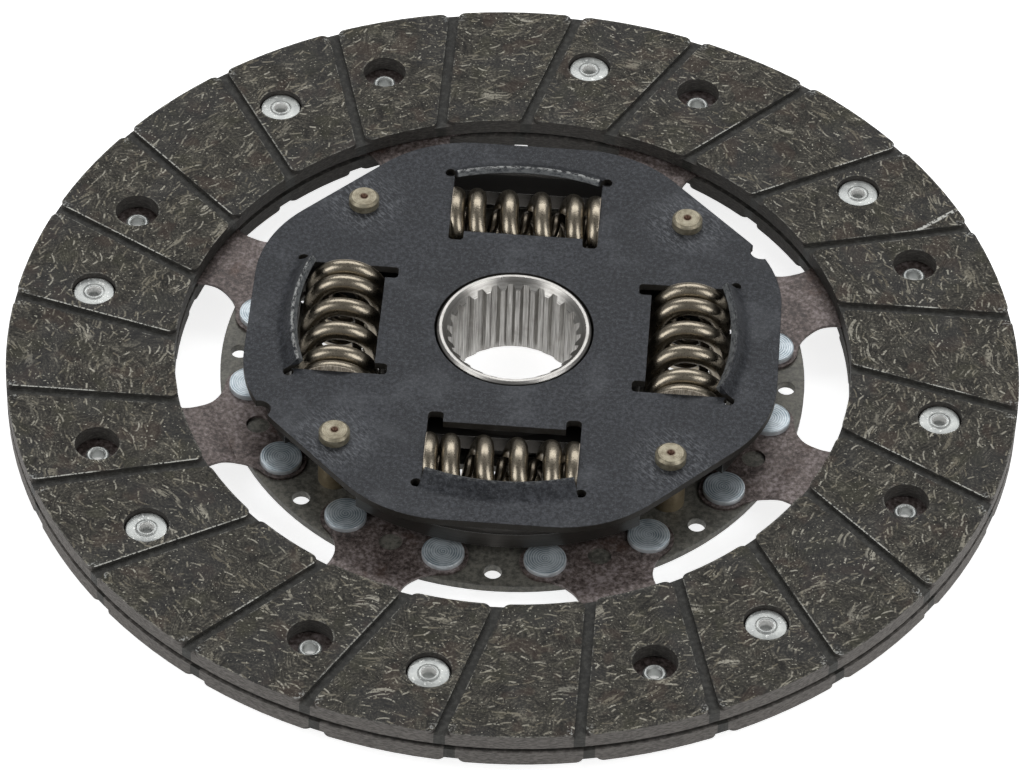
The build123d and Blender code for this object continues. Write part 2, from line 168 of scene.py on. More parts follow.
class Finish(Tree):
    # a material and the patterns that its colour is made from
    def __init__(self, name):
        self.material = bpy.data.materials.new(name)
        self.material.use_nodes = True
        super().__init__(self.material.node_tree)
        self.nodeTree.nodes.clear()
        self.colour = None

    def place(self):
        # millimetres in the part's own frame
        spot = self.node("ShaderNodeTexCoord", out="Object")
        return self.vector("SCALE", spot, scale=1 / mm)

    def vector(self, operation, *values, scale=None, out=0):
        inputs = dict(enumerate(values))
        if scale is not None:
            inputs["Scale"] = scale
        return self.node("ShaderNodeVectorMath", {"operation": operation}, inputs, out)

    def split(self, vector):
        x = self.node("ShaderNodeSeparateXYZ", None, {0: vector})
        return x, self.other(x, "Y"), self.other(x, "Z")

    def join(self, x, y, z=0.0):
        return self.node("ShaderNodeCombineXYZ", None, {0: x, 1: y, 2: z})

    def noise(self, vector, scale=1.0, detail=3.0, rough=0.5, twist=0.0, flat=False, stretch=None):
        if stretch:
            vector = self.vector("MULTIPLY", vector, stretch)
        settings = {"noise_dimensions": "2D" if flat else "3D"}
        inputs = {"Vector": vector, "Scale": scale, "Detail": detail, "Roughness": rough}
        inputs["Distortion"] = twist
        return self.node("ShaderNodeTexNoise", settings, inputs)

    def cells(self, flat, size):
        # scattered cells: three chances for each, and the way from its middle
        middle = self.node(
            "ShaderNodeTexVoronoi",
            {"voronoi_dimensions": "2D", "feature": "F1"},
            {"Vector": flat, "Scale": 1 / size, "Randomness": 1.0},
            "Position",
        )
        chances = self.split(self.other(middle, "Color"))
        return chances, self.split(self.vector("SUBTRACT", flat, middle))

    def mix(self, amount, low, high):
        settings = {"data_type": "RGBA", "clamp_factor": True}
        return self.node("ShaderNodeMix", settings, {0: amount, 6: low, 7: high}, 2)

    def blend(self, amount, low, high):
        settings = {"data_type": "FLOAT", "clamp_factor": True}
        return self.node("ShaderNodeMix", settings, {0: amount, 2: low, 3: high})

    def ramp(self, value, stops):
        return self.node("ShaderNodeValToRGB", {"stops": stops}, {0: value})

    def coat(self, amount, paint):
        self.colour = self.mix(amount, self.colour, paint)

    def lay(self, layer, where, *masks):
        # a layer's colour, where a value runs through the layer's range
        shown = where.rise(*layer["range"])
        for mask in masks:
            shown = shown * mask
        self.coat(shown * layer["amount"], layer["colour"])
        return shown

    def plainNormal(self):
        return self.node("ShaderNodeNewGeometry", out="Normal")

    def bevelled(self, radius):
        settings = {"samples": edgeFinding["samples"]}
        return self.node("ShaderNodeBevel", settings, {"Radius": radius * mm})

    def edges(self, rounded):
        # 1 along the sharp edges of the mesh
        same = self.vector("DOT_PRODUCT", rounded, self.plainNormal(), out="Value")
        return (1.0 - same).rise(*edgeFinding["range"])

    def levelness(self):
        # 1 on faces that look straight up or down
        return abs(self.split(self.plainNormal())[2])

    def bump(self, look, height, normal=None):
        inputs = {"Height": height, "Strength": look["reliefStrength"], "Normal": normal}
        inputs["Distance"] = look["relief"] * mm
        return self.node("ShaderNodeBump", None, inputs)

    def finish(self, rough, metal, normal, gloss=None):
        inputs = {"Base Color": self.colour, "Roughness": rough, "Metallic": metal, "Normal": normal}
        inputs["Specular IOR Level"] = gloss
        surface = self.node("ShaderNodeBsdfPrincipled", None, inputs, "BSDF")
        self.node("ShaderNodeOutputMaterial", None, {"Surface": surface})
        return self.material


def dress(material, *names):
    for name in names:
        mesh = nodes[name].data
        mesh.materials.clear()
        mesh.materials.append(material)


def numbered(name, count):
    return [f"{name}_{k}" for k in range(1, count + 1)]


# the facings, in millimetres and degrees; a pair is a range, from nothing to full
facing = {
    "middle": 4.4,  # height of the middle of the pack
    "halfHeight": 4.4,
    "faceDepth": (0.09, 0.02),
    "outerRadius": 114.0,
    "innerRadius": 76.2,
    "grooves": 24,
    "grooveOffset": 22.0,  # from the disc's middle to the line of a groove
    "grooveHalfWidth": 1.2,
    "grooveReach": (0.12, -0.05),  # beyond the groove's wall, like the three that follow
    "chipReach": (0.6, 0.0),
    "litReach": (0.42, 0.14),
    "mouthMiddle": 0.7,
    "mouthReach": (1.3, 0.2),  # to either side of that middle
    "litSide": (0.3, 1.1),  # how far an edge lies towards +Y
    "mouthRadius": (110.5, 113.0),
    "rimDepth": (0.7, 0.3),
    "yarnTurn": 0.36,  # from a pad's groove to its middle, radians
    "padShift": 61.7,  # moves the pattern on from pad to pad
    "underTurn": 1.1,  # that the grooves underneath run ahead of the others
    "seatCircle": 97.0,
    "seatRadius": 5.0,
    "seatPitch": 45.0,
    "seats": (22.3, 38.3),  # the first of either kind
    # noises
    "grain": {"scale": 1.7, "detail": 1.5, "rough": 0.7},
    "patches": {"scale": 0.2, "detail": 3.0, "rough": 0.62, "twist": 0.5, "flat": True},
    "yarn": {"stretch": (0.3, 1.7, 1.0), "detail": 1.0, "rough": 0.6, "flat": True},
    "sway": {"scale": 0.06, "detail": 1.0, "rough": 0.5, "flat": True},
    "hue": {"scale": 0.11, "detail": 2.0, "rough": 0.6, "flat": True},
    "specks": {"scale": 1.9, "detail": 0.0, "rough": 0.5},
    "smear": {"stretch": (1.0, 1.0, 5.0), "scale": 0.8, "detail": 2.0, "rough": 0.6},
    "worn": {"scale": 0.42, "detail": 2.0, "rough": 0.65},
    # resin ground, with the yarn in two slanting directions
    "swayWidth": 30.0,  # the range of sway, which litSway and blue refer to
    "yarnSlants": (0.45, -0.4),
    "yarnChange": (0.44, 0.56),
    "patchShare": 0.24,
    "grainShare": 0.46,
    "yarnShare": 0.3,
    "contrast": 2.5,
    "resin": [
        (0.18, tint(32, 31, 29)),
        (0.4, tint(51, 49, 45)),
        (0.55, tint(66, 64, 58)),
        (0.7, tint(88, 85, 77)),
        (0.88, tint(122, 118, 107)),
    ],
    "moss": {"colour": tint(68, 68, 52), "range": (0.56, 0.7), "amount": 0.3},
    "rust": {"colour": tint(80, 64, 56), "range": (0.44, 0.32), "amount": 0.3},
    "blue": {"colour": tint(54, 55, 58), "range": (15.5, 19.0), "amount": 0.35},
    "dust": {"colour": tint(190, 187, 172), "range": (0.74, 0.82), "amount": 0.75},
    # cut faces, each mottled between two colours
    "chipped": {"colour": tint(50, 50, 48), "range": (0.54, 0.44), "amount": 0.75},
    "groove": {"colours": (tint(50, 50, 48), tint(74, 74, 71)), "range": (0.42, 0.72), "amount": 0.9},
    "wall": {"colours": (tint(62, 60, 58), tint(92, 89, 86)), "range": (0.4, 0.72), "amount": 0.85},
    # the outer rim: its own cut-face colour, lightened further as painted light
    "rim": {"colours": (tint(92, 89, 86), tint(128, 124, 120)), "range": (0.34, 0.66), "amount": 0.85},
    # wear: how far from the edge, where it shows and how strongly
    "lipWear": {"reach": (0.34, 0.02), "shown": (0.5, 0.6), "amount": 1.0},
    "seatWear": {"reach": (0.5, 0.1), "shown": (0.44, 0.58), "amount": 0.6},
    "borderWear": {"reach": (0.5, 0.08), "shown": (0.4, 0.6), "amount": 0.8},
    "rubbed": {"colour": tint(158, 157, 150), "range": (0.36, 0.52), "amount": 0.55},
    "lit": {"colour": tint(214, 214, 206), "range": (0.38, 0.52), "amount": 0.8},
    "litSway": (13.0, 16.0),
    "mouth": {"colour": tint(186, 188, 186), "range": (0.5, 0.6), "amount": 0.6},
    # surface
    "rough": 0.74,
    "fibreGloss": 0.15,
    "grooveGloss": 0.12,
    "grainRough": 0.3,
    "fibreRelief": 0.45,
    "grainRelief": 0.7,
    "yarnRelief": 0.5,
    "relief": 0.16,
    "reliefStrength": 0.85,
    "gloss": 0.28,
}

# what all wisps of fibre share; the soft ends and edges are shares of the length and width
wispForm = {
    "sideShift": 0.7,
    "softEnd": (0.5, 0.3),
    "softEdge": (0.5, 0.2),
    "strandStretch": 0.17,
    "strandShift": 40.0,
    "strands": {"detail": 1.0, "rough": 0.5, "flat": True},
    "strandRange": (0.51, 0.58),
    "fadeIn": 0.12,
    "chanceShare": 0.8,
    "grainShare": 0.2,
    "grainRange": (0.3, 0.5),
    "colours": [
        (0.0, tint(104, 97, 82)),
        (0.35, tint(134, 128, 112)),
        (0.7, tint(164, 159, 144)),
        (0.93, tint(206, 202, 188)),
        (1.0, tint(146, 100, 86)),
    ],
}

# three layers of wisps: cell is the space for each, across the fibres in it, spread its range of
# direction in radians, share how many cells have one
wisps = [
    {
        "cell": 8.2, "length": 7.8, "width": 4.0, "across": 1.3, "spread": 0.9,
        "bend": 1.6, "share": 0.4, "shift": 11.3, "strength": 0.62,
    },
    {
        "cell": 3.5, "length": 3.4, "width": 0.5, "across": 0.0, "spread": 1.2,
        "bend": 1.0, "share": 0.5, "shift": 31.7, "strength": 0.66,
    },
    {
        "cell": 2.5, "length": 2.0, "width": 0.56, "across": 0.0, "spread": 1.9,
        "bend": 0.3, "share": 0.42, "shift": 73.1, "strength": 0.72,
    },
]

# a dash of marking paint across the outer part of a pad, its ends as radius and angle
paint = {
    "start": (114.0, 29.5),
    "end": (100.0, 27.8),
    "side": (0.55, 0.3),
    "head": (-0.2, 0.1),
    "tail": 0.6,
    "worn": {"scale": 1.1, "detail": 3.0, "rough": 0.6, "flat": True},
    "coat": {"colour": tint(214, 214, 208), "range": (0.4, 0.55), "amount": 0.9},
}


class FacingFinish(Finish):
    # laid up in the order in which it comes about: resin, fibres, cut faces, wear, paint
    def __init__(self, name, under):
        super().__init__(name)
        self.spot = self.place()
        self.x, self.y, self.z = self.split(self.spot)
        self.radius = distance(self.x, self.y)
        self.angle = self.x.math("ARCTAN2", self.y, self.x)
        self.grain = self.noise(self.spot, **facing["grain"])
        depth = facing["halfHeight"] - abs(self.z - facing["middle"])
        self.onFace = depth.rise(*facing["faceDepth"])
        self.findPad(self.angle - math.radians(facing["underTurn"]) if under else self.angle)

    def findPad(self, angle):
        # the nearest groove, and a frame of its own for each pad, which ends inside the grooves
        pitch = fullTurn / facing["grooves"]
        turn = angle - (facing["grooveOffset"] / self.radius).asin()
        self.ray = (turn / pitch).rounded() * pitch
        self.aside = self.radius * (angle - self.ray).sin() - facing["grooveOffset"]
        self.beyond = abs(self.aside) - facing["grooveHalfWidth"]
        self.inGroove = self.beyond.rise(*facing["grooveReach"]) * (1 - self.onFace)
        pad = (turn / pitch).floor() % facing["grooves"]
        back = pad * pitch + facing["yarnTurn"]
        self.outward = self.x * back.cos() + self.y * back.sin()
        self.around = self.y * back.cos() - self.x * back.sin() + pad * facing["padShift"]
        self.flat = self.join(self.outward, self.around)
        self.sway = self.noise(self.flat, **facing["sway"]) * facing["swayWidth"]

    def yarn(self, slant):
        along = self.around + self.outward * slant
        across = self.outward - self.around * slant + self.sway
        return self.noise(self.join(along, across), **facing["yarn"])

    def layResin(self):
        patches = self.noise(self.flat, **facing["patches"])
        rightward, leftward = [self.yarn(slant) for slant in facing["yarnSlants"]]
        self.streaks = self.blend(patches.rise(*facing["yarnChange"]), rightward, leftward)
        tone = patches * facing["patchShare"] + self.grain * facing["grainShare"]
        tone = tone + self.streaks * facing["yarnShare"]
        self.colour = self.ramp(tone.swing(facing["contrast"]) + 0.5, facing["resin"])
        hue = self.noise(self.flat, **facing["hue"])
        self.lay(facing["moss"], hue)
        self.lay(facing["rust"], hue)
        self.lay(facing["blue"], self.sway)

    def wisp(self, size):
        shift = size["shift"]
        moved = self.vector("ADD", self.flat, (shift, shift * wispForm["sideShift"], 0.0))
        (first, second, third), (outward, around, _) = self.cells(moved, size["cell"])
        turn = first.swing(size["spread"])
        along = around * turn.cos() + outward * turn.sin()
        across = outward * turn.cos() - around * turn.sin()
        if size["bend"]:
            across = across - second.swing(size["bend"] / size["length"]) * along * along
        ends = (abs(along) / size["length"]).rise(*wispForm["softEnd"])
        body = ends * (abs(across) / size["width"]).rise(*wispForm["softEdge"])
        if size["across"]:
            run = along * wispForm["strandStretch"] + third * wispForm["strandShift"]
            strand = self.noise(self.join(run, across * size["across"]), **wispForm["strands"])
            body = body * strand.rise(*wispForm["strandRange"])
        start = 1 - size["share"]
        return body * third.rise(start, start + wispForm["fadeIn"]) * size["strength"], second

    def layFibres(self):
        masks = []
        for size in wisps:
            mask, chance = self.wisp(size)
            tone = chance * wispForm["chanceShare"] + self.grain * wispForm["grainShare"]
            mask = mask * self.onFace * self.grain.rise(*wispForm["grainRange"])
            self.coat(mask, self.ramp(tone, wispForm["colours"]))
            masks.append(mask)
        self.fibres = reduce(Wire.most, masks)
        self.lay(facing["dust"], self.noise(self.spot, **facing["specks"]), self.onFace)

    def mottle(self, layer, smear, mask):
        self.coat(mask * layer["amount"], self.mix(smear.rise(*layer["range"]), *layer["colours"]))

    def layCutFaces(self):
        smear = self.noise(self.spot, **facing["smear"])
        chips = self.beyond.rise(*facing["chipReach"]) * self.onFace
        self.lay(facing["chipped"], self.grain, chips)
        self.mottle(facing["groove"], smear, self.inGroove)
        wall = (1 - self.onFace) * (1 - self.inGroove)
        self.mottle(facing["wall"], smear, wall)
        # the outer rim is partly its own cut-face colour and partly painted light
        rim = (facing["outerRadius"] - self.radius).rise(*facing["rimDepth"])
        self.mottle(facing["rim"], smear, wall * rim)

    def seatEdge(self):
        # distance from the edge of the nearest rivet seat
        pitch = math.radians(facing["seatPitch"])
        gaps = []
        for start in facing["seats"]:
            away = self.angle - math.radians(start)
            away = away - (away / pitch).rounded() * pitch
            gaps.append(distance(self.radius * away.cos() - facing["seatCircle"], self.radius * away.sin()))
        return abs(reduce(Wire.least, gaps) - facing["seatRadius"])

    def layWear(self):
        worn = self.noise(self.spot, **facing["worn"])
        border = (facing["outerRadius"] - self.radius).least(self.radius - facing["innerRadius"])
        edges = ((self.beyond, "lipWear"), (self.seatEdge(), "seatWear"), (border, "borderWear"))
        masks = []
        for gap, kind in edges:
            wear = facing[kind]
            masks.append(gap.rise(*wear["reach"]) * worn.rise(*wear["shown"]) * wear["amount"])
        self.lay(facing["rubbed"], self.grain, reduce(Wire.most, masks), self.onFace)
        # the far edge of a groove catches the light in places
        lit = (self.aside * self.ray.cos()).rise(*facing["litSide"])
        lit = lit * self.beyond.rise(*facing["litReach"]) * self.sway.rise(*facing["litSway"])
        self.lay(facing["lit"], self.grain, lit, self.onFace)
        # the mouths of the grooves are chipped pale
        mouth = abs(self.beyond - facing["mouthMiddle"]).rise(*facing["mouthReach"])
        self.lay(facing["mouth"], self.grain, mouth, self.radius.rise(*facing["mouthRadius"]), self.onFace)

    def layPaint(self):
        start, end = [
            Vector((radius * math.cos(math.radians(angle)), radius * math.sin(math.radians(angle))))
            for radius, angle in (paint["start"], paint["end"])
        ]
        way = (end - start).normalized()
        length = (end - start).length
        along = (self.x - start.x) * way.x + (self.y - start.y) * way.y
        aside = abs((self.x - start.x) * -way.y + (self.y - start.y) * way.x)
        dash = aside.rise(*paint["side"]) * along.rise(*paint["head"])
        dash = dash * along.rise(length, length - paint["tail"])
        self.lay(paint["coat"], self.noise(self.spot, **paint["worn"]), dash, self.onFace)

    def done(self):
        rough = facing["rough"] - self.fibres * facing["fibreGloss"]
        rough = rough - self.inGroove * facing["grooveGloss"] + self.grain.swing(facing["grainRough"])
        relief = self.fibres * facing["fibreRelief"] + self.grain * facing["grainRelief"]
        relief = relief + self.streaks * facing["yarnRelief"]
        return self.finish(rough, 0.0, self.bump(facing, relief), facing["gloss"])


def facingFinish(name, under):
    look = FacingFinish(name, under)
    look.layResin()
    look.layFibres()
    look.layCutFaces()
    look.layWear()
    if not under:
        look.layPaint()
    return look.done()


dress(facingFinish("frictionFacingGearbox", False), "facing_gearbox_side")
dress(facingFinish("frictionFacingFlywheel", True), "facing_flywheel_side")
print("friction facings dressed")

# what the sheet steels share
sheetLook = {
    "cloud": {"scale": 0.05, "detail": 3.0, "rough": 0.6, "twist": 0.6},
    "fineShare": 0.7,
    "contrast": 1.9,
    "fine": {"scale": 1.1, "detail": 2.0, "rough": 0.65},
    "specks": {"scale": 3.4, "detail": 0.0, "rough": 0.6},
    "speckRange": (0.62, 0.8),
    "worn": {"scale": 0.5, "detail": 2.0, "rough": 0.6},
    "wornRange": (0.46, 0.68),
    "scratchCell": 8.0,
    "scratchLength": (0.42, 0.1),  # shares of a cell
    "scratchWidth": (0.13, 0.03),
    "scratchChance": (0.55, 0.7),
    "edgeRound": 0.3,
    "bright": tint(142, 143, 144),
    "rubbed": 0.6,
    "rubbedGloss": 0.1,
    "cloudRough": 0.25,
    "fineRough": 0.2,
    "fineRelief": 0.6,
    "speckRelief": 0.4,
    "relief": 0.05,
    "reliefStrength": 0.6,
    "gloss": 0.5,
}

coverLook = sheetLook | {
    "colours": [(0.2, tint(30, 32, 36)), (0.48, tint(46, 48, 52)), (0.8, tint(72, 74, 79))],
    "scuff": tint(110, 112, 115),
    "speckAmount": 0.3,
    "scratches": 0.16,
    "rough": 0.5,
    "metal": 0.3,
    "gloss": 0.28,
    # the bent lips: height at which they begin, and the line of their crest
    "lipHeight": (16.9, 17.6),
    "crestRadius": 49.8,
    "crestHeight": 19.3,
    "endDepth": (0.12, 0.24),
    "slopeReach": (2.6, 0.6),
    "lineReach": (0.75, 0.2),
    "lineSide": (-12.0, 12.0),
    "lineShade": 0.15,  # what is left of the painted highlight line on the far side
    "streaks": {"stretch": (0.7, 0.7, 2.0), "scale": 1.1, "detail": 3.0, "rough": 0.75},
    # painted light on the lips: lighter end faces, a sheen near the crest and a bright line along it
    "lipEnd": {"colour": tint(116, 119, 120), "range": (0.3, 0.6), "amount": 0.85},
    "slope": {"colour": tint(110, 112, 115), "range": (0.5, 0.68), "amount": 0.4},
    "line": {"colour": tint(206, 208, 206), "range": (0.44, 0.58), "amount": 0.7},
    "lineGloss": 0.15,
    # scuffs round the pins, rubbed in one slanting direction, and a faint bloom
    "pinCircle": 52.4,
    "pinReach": (13.0, 4.5),
    "rubbing": {"stretch": (1.3, 0.35, 1.0), "detail": 2.0, "rough": 0.7, "flat": True},
    "handled": {"colour": tint(134, 137, 142), "range": (0.48, 0.66), "amount": 0.4},
    "handledRough": 0.1,
    "clouds": {"scale": 0.09, "detail": 2.0, "rough": 0.6},
    "bloom": {"colour": tint(134, 137, 142), "range": (0.5, 0.72), "amount": 0.1},
    "side": {"colour": tint(50, 46, 39), "range": (0.5, 0.2), "amount": 0.75},
}

carrierLook = sheetLook | {
    "colours": [(0.28, tint(76, 75, 70)), (0.48, tint(95, 94, 88)), (0.7, tint(116, 114, 106))],
    "scuff": tint(112, 110, 100),
    "speckAmount": 0.16,
    "scratches": 0.14,
    "rough": 0.46,
    "metal": 0.35,
}

segmentLook = sheetLook | {
    "cloud": {"scale": 0.085, "detail": 3.0, "rough": 0.6, "twist": 0.6},
    "fineShare": 0.6,
    "contrast": 2.2,
    "colours": [
        (0.2, tint(52, 45, 43)),
        (0.42, tint(84, 74, 71)),
        (0.58, tint(108, 98, 95)),
        (0.8, tint(142, 132, 132)),
    ],
    "scuff": tint(150, 140, 138),
    "speckAmount": 0.3,
    "scratches": 0.14,
    "edgeRound": 0.12,
    "bright": tint(160, 152, 146),
    "rough": 0.46,
    "metal": 0.4,
    "stainPatches": {"scale": 0.12, "detail": 3.0, "rough": 0.6},
    "stainSpeckle": {"scale": 1.0, "detail": 3.0, "rough": 0.7},
    "stainSpeckleRange": (0.3, 0.6),
    "stain": {"colour": tint(74, 52, 40), "range": (0.56, 0.7), "amount": 0.6},
}


class SteelFinish(Finish):
    # blued or oiled sheet steel: cloudy colour, specks, small scratches and rubbed edges
    def __init__(self, name, look):
        super().__init__(name)
        self.look = look
        self.spot = self.place()
        cloud = self.noise(self.spot, **look["cloud"])
        fine = self.noise(self.spot, **look["fine"])
        specks = self.noise(self.spot, **look["specks"])
        tone = self.blend(look["fineShare"], cloud, fine)
        self.colour = self.ramp(tone.swing(look["contrast"]) + 0.5, look["colours"])
        self.coat(specks.rise(*look["speckRange"]) * look["speckAmount"], look["scuff"])
        self.coat(self.scratchMask() * look["scratches"], look["scuff"])
        rounded = self.bevelled(look["edgeRound"])
        worn = self.noise(self.spot, **look["worn"]).rise(*look["wornRange"])
        rubbed = self.edges(rounded) * worn
        self.coat(rubbed * look["rubbed"], look["bright"])
        rough = look["rough"] + cloud.swing(look["cloudRough"]) + fine.swing(look["fineRough"])
        self.rough = rough - rubbed * look["rubbedGloss"]
        relief = fine * look["fineRelief"] + specks * look["speckRelief"]
        self.normal = self.bump(look, relief, rounded)

    def scratchMask(self):
        cell = self.look["scratchCell"]
        (first, _, third), (x, y, _) = self.cells(self.spot, cell)
        turn = first * fullTurn
        along = x * turn.cos() + y * turn.sin()
        across = y * turn.cos() - x * turn.sin()
        ends = (abs(along) / cell).rise(*self.look["scratchLength"])
        body = ends * abs(across).rise(*self.look["scratchWidth"])
        return body * third.rise(*self.look["scratchChance"])

    def done(self):
        return self.finish(self.rough, self.look["metal"], self.normal, self.look["gloss"])


def coverFinish():
    look = coverLook
    steel = SteelFinish("coverSteel", look)
    x, y, z = steel.split(steel.spot)
    radius = distance(x, y)
    # painted highlight along the crest, painted sheen near it and painted light on the end of each bent lip
    streaks = steel.noise(steel.spot, **look["streaks"])
    onLip = z.rise(*look["lipHeight"])
    crest = distance(radius - look["crestRadius"], z - look["crestHeight"])
    inside = (look["crestRadius"] - radius).rise(*look["endDepth"]) * onLip
    steel.lay(look["lipEnd"], streaks, inside)
    steel.lay(look["slope"], streaks, onLip * (1 - inside) * crest.rise(*look["slopeReach"]))
    # the crest line is a painted highlight, full towards +Y and -X and faint elsewhere
    highlightSide = (y - x).rise(*look["lineSide"]) * (1 - look["lineShade"]) + look["lineShade"]
    line = steel.lay(look["line"], streaks, crest.rise(*look["lineReach"]), highlightSide)
    # scuffed round the pins, bloomed all over, dark on the cut sides
    quarter = fullTurn / 4
    folded = abs(x.math("ARCTAN2", y, x) % quarter - quarter / 2)
    toPin = distance(radius - look["pinCircle"], folded * look["pinCircle"])
    rubbing = steel.noise(steel.join(x + y, x - y), **look["rubbing"])
    handled = steel.lay(look["handled"], rubbing, toPin.rise(*look["pinReach"]))
    steel.lay(look["bloom"], steel.noise(steel.spot, **look["clouds"]))
    steel.lay(look["side"], steel.levelness(), 1 - onLip)
    steel.rough = steel.rough - line * look["lineGloss"] + handled * look["handledRough"]
    return steel.done()


def segmentFinish():
    look = segmentLook
    steel = SteelFinish("segmentSteel", look)
    speckle = steel.noise(steel.spot, **look["stainSpeckle"]).rise(*look["stainSpeckleRange"])
    steel.lay(look["stain"], steel.noise(steel.spot, **look["stainPatches"]), speckle)
    return steel.done()


dress(coverFinish(), "cover_plate")
dress(SteelFinish("carrierSteel", carrierLook).done(), "carrier_plate")
dress(segmentFinish(), *numbered("cushion_segment", 8))
print("plates and segments dressed")

hubLook = {
    "boreRadius": (15.5, 15.3),
    "boreTilt": (0.3, 0.6),
    "barrelRadius": (17.6, 18.8),
    "turned": {"stretch": (9.0, 1.0, 9.0), "detail": 3.0, "rough": 0.7},
    "broached": {"stretch": (4.5, 4.5, 0.12), "detail": 3.0, "rough": 0.6},
    "markRange": (0.3, 0.75),
    "dull": tint(130, 128, 125),
    "bright": tint(198, 196, 192),
    "clouds": {"scale": 0.35, "detail": 2.0, "rough": 0.65},
    "stain": {"colour": tint(128, 124, 118), "range": (0.5, 0.75), "amount": 0.35},
    "flange": tint(56, 53, 50),
    "flangeAmount": 0.85,
    "edgeRound": 0.2,
    # colour of the painted highlight along the sharp edges
    "edge": tint(226, 226, 224),
    "edgeAmount": 0.5,
    "rough": 0.3,
    "flangeRough": 0.15,
    "boreRough": 0.08,
    "cloudRough": 0.15,
    "relief": 0.03,
    "reliefStrength": 0.7,
    "metal": 0.92,
}


def hubFinish():
    look = hubLook
    steel = Finish("hubSteel")
    spot = steel.place()
    x, y, z = steel.split(spot)
    radius = distance(x, y)
    turned = steel.noise(steel.join(radius, 0.0, z), **look["turned"])
    broached = steel.noise(spot, **look["broached"])
    inBore = radius.rise(*look["boreRadius"]) * (1 - steel.levelness().rise(*look["boreTilt"]))
    marks = steel.blend(inBore, turned, broached)
    steel.colour = steel.mix(marks.rise(*look["markRange"]), look["dull"], look["bright"])
    clouds = steel.noise(spot, **look["clouds"])
    steel.lay(look["stain"], clouds)
    outer = radius.rise(*look["barrelRadius"])
    steel.coat(outer * look["flangeAmount"], look["flange"])
    rounded = steel.bevelled(look["edgeRound"])
    # a painted highlight along the sharp edges
    steel.coat(steel.edges(rounded) * look["edgeAmount"], look["edge"])
    rough = look["rough"] + outer * look["flangeRough"] + inBore * look["boreRough"]
    rough = rough + clouds.swing(look["cloudRough"])
    return steel.finish(rough, look["metal"], steel.bump(look, marks, rounded))


dress(hubFinish(), "hub_flange")

springLook = {
    "peening": 2.9,
    "clouds": {"scale": 0.25, "detail": 2.0, "rough": 0.6},
    "fine": {"scale": 2.6, "detail": 1.0, "rough": 0.7},
    "dark": tint(108, 100, 88),
    "light": tint(184, 175, 158),
    "brown": {"colour": tint(98, 85, 70), "range": (0.58, 0.75), "amount": 0.35},
    "shade": tint(70, 64, 56),
    # how far the inner springs are painted darker, as painted shade inside the outer springs
    "innerPaintedShade": 0.8,
    # the ends, ground flat, with the wheel's marks across them
    "endPlane": (16.8, 16.86),
    "wheelMarks": {"stretch": (3.2, 3.2, 0.5), "scale": 1.5, "detail": 2.0, "rough": 0.6},
    "wheelRange": (0.35, 0.65),
    "groundDark": tint(138, 126, 110),
    "ground": tint(208, 198, 182),
    "groundAmount": 0.95,
    "rough": 0.3,
    "fineRough": 0.2,
    "groundRough": 0.3,
    "groundMetal": 0.2,
    "relief": 0.05,
    "reliefStrength": 0.5,
}


def springFinish(name, shade):
    look = springLook
    steel = Finish(name)
    spot = steel.place()
    x, y, _ = steel.split(spot)
    peened = steel.node("ShaderNodeTexVoronoi", {"feature": "F1"}, {"Vector": spot, "Scale": look["peening"]})
    fine = steel.noise(spot, **look["fine"])
    tone = (steel.noise(spot, **look["clouds"]) + fine) * 0.5
    steel.colour = steel.mix(tone, look["dark"], look["light"])
    steel.lay(look["brown"], fine)
    # painted shade: the inner springs are darkened by this amount
    steel.coat(shade, look["shade"])
    cut = abs(x).least(abs(y)).rise(*look["endPlane"])
    marks = steel.noise(spot, **look["wheelMarks"])
    ground = steel.mix(marks.rise(*look["wheelRange"]), look["groundDark"], look["ground"])
    steel.coat(cut * look["groundAmount"], ground)
    rough = look["rough"] + fine.swing(look["fineRough"]) + cut * look["groundRough"]
    metal = 1.0 - cut * (1 - look["groundMetal"])
    return steel.finish(rough, metal, steel.bump(look, (peened + fine) * 0.5 + cut * marks))


dress(springFinish("damperSpringSteel", 0.0), *numbered("damper_spring", 4))
dress(springFinish("innerSpringSteel", springLook["innerPaintedShade"]), *numbered("inner_spring", 4))

pinLook = {
    "circle": 52.4,
    "clouds": {"scale": 0.5, "detail": 2.0, "rough": 0.65},
    "pits": {"scale": 2.4, "detail": 1.5, "rough": 0.7},
    "ringTurns": 14.0,
    "ringWobble": 4.0,
    "cloudRange": (0.3, 0.7),
    "shade": tint(118, 110, 92),
    "head": tint(160, 153, 134),
    "bright": {"colour": tint(196, 190, 168), "range": (0.4, 0.6), "amount": 0.35},
    "pitted": {"colour": tint(118, 110, 92), "range": (0.6, 0.72), "amount": 0.4},
    "rust": {"colour": tint(84, 50, 36), "range": (1.25, 0.6), "amount": 0.9},
    "shank": {"colour": tint(136, 120, 92), "range": (14.6, 12.0), "amount": 0.7},
    "edgeRound": 0.25,
    "ringRelief": 0.4,
    "pitRelief": 0.6,
    "relief": 0.05,
    "reliefStrength": 0.6,
    "rough": 0.44,
    "pitRough": 0.3,
    "metal": 0.6,
}


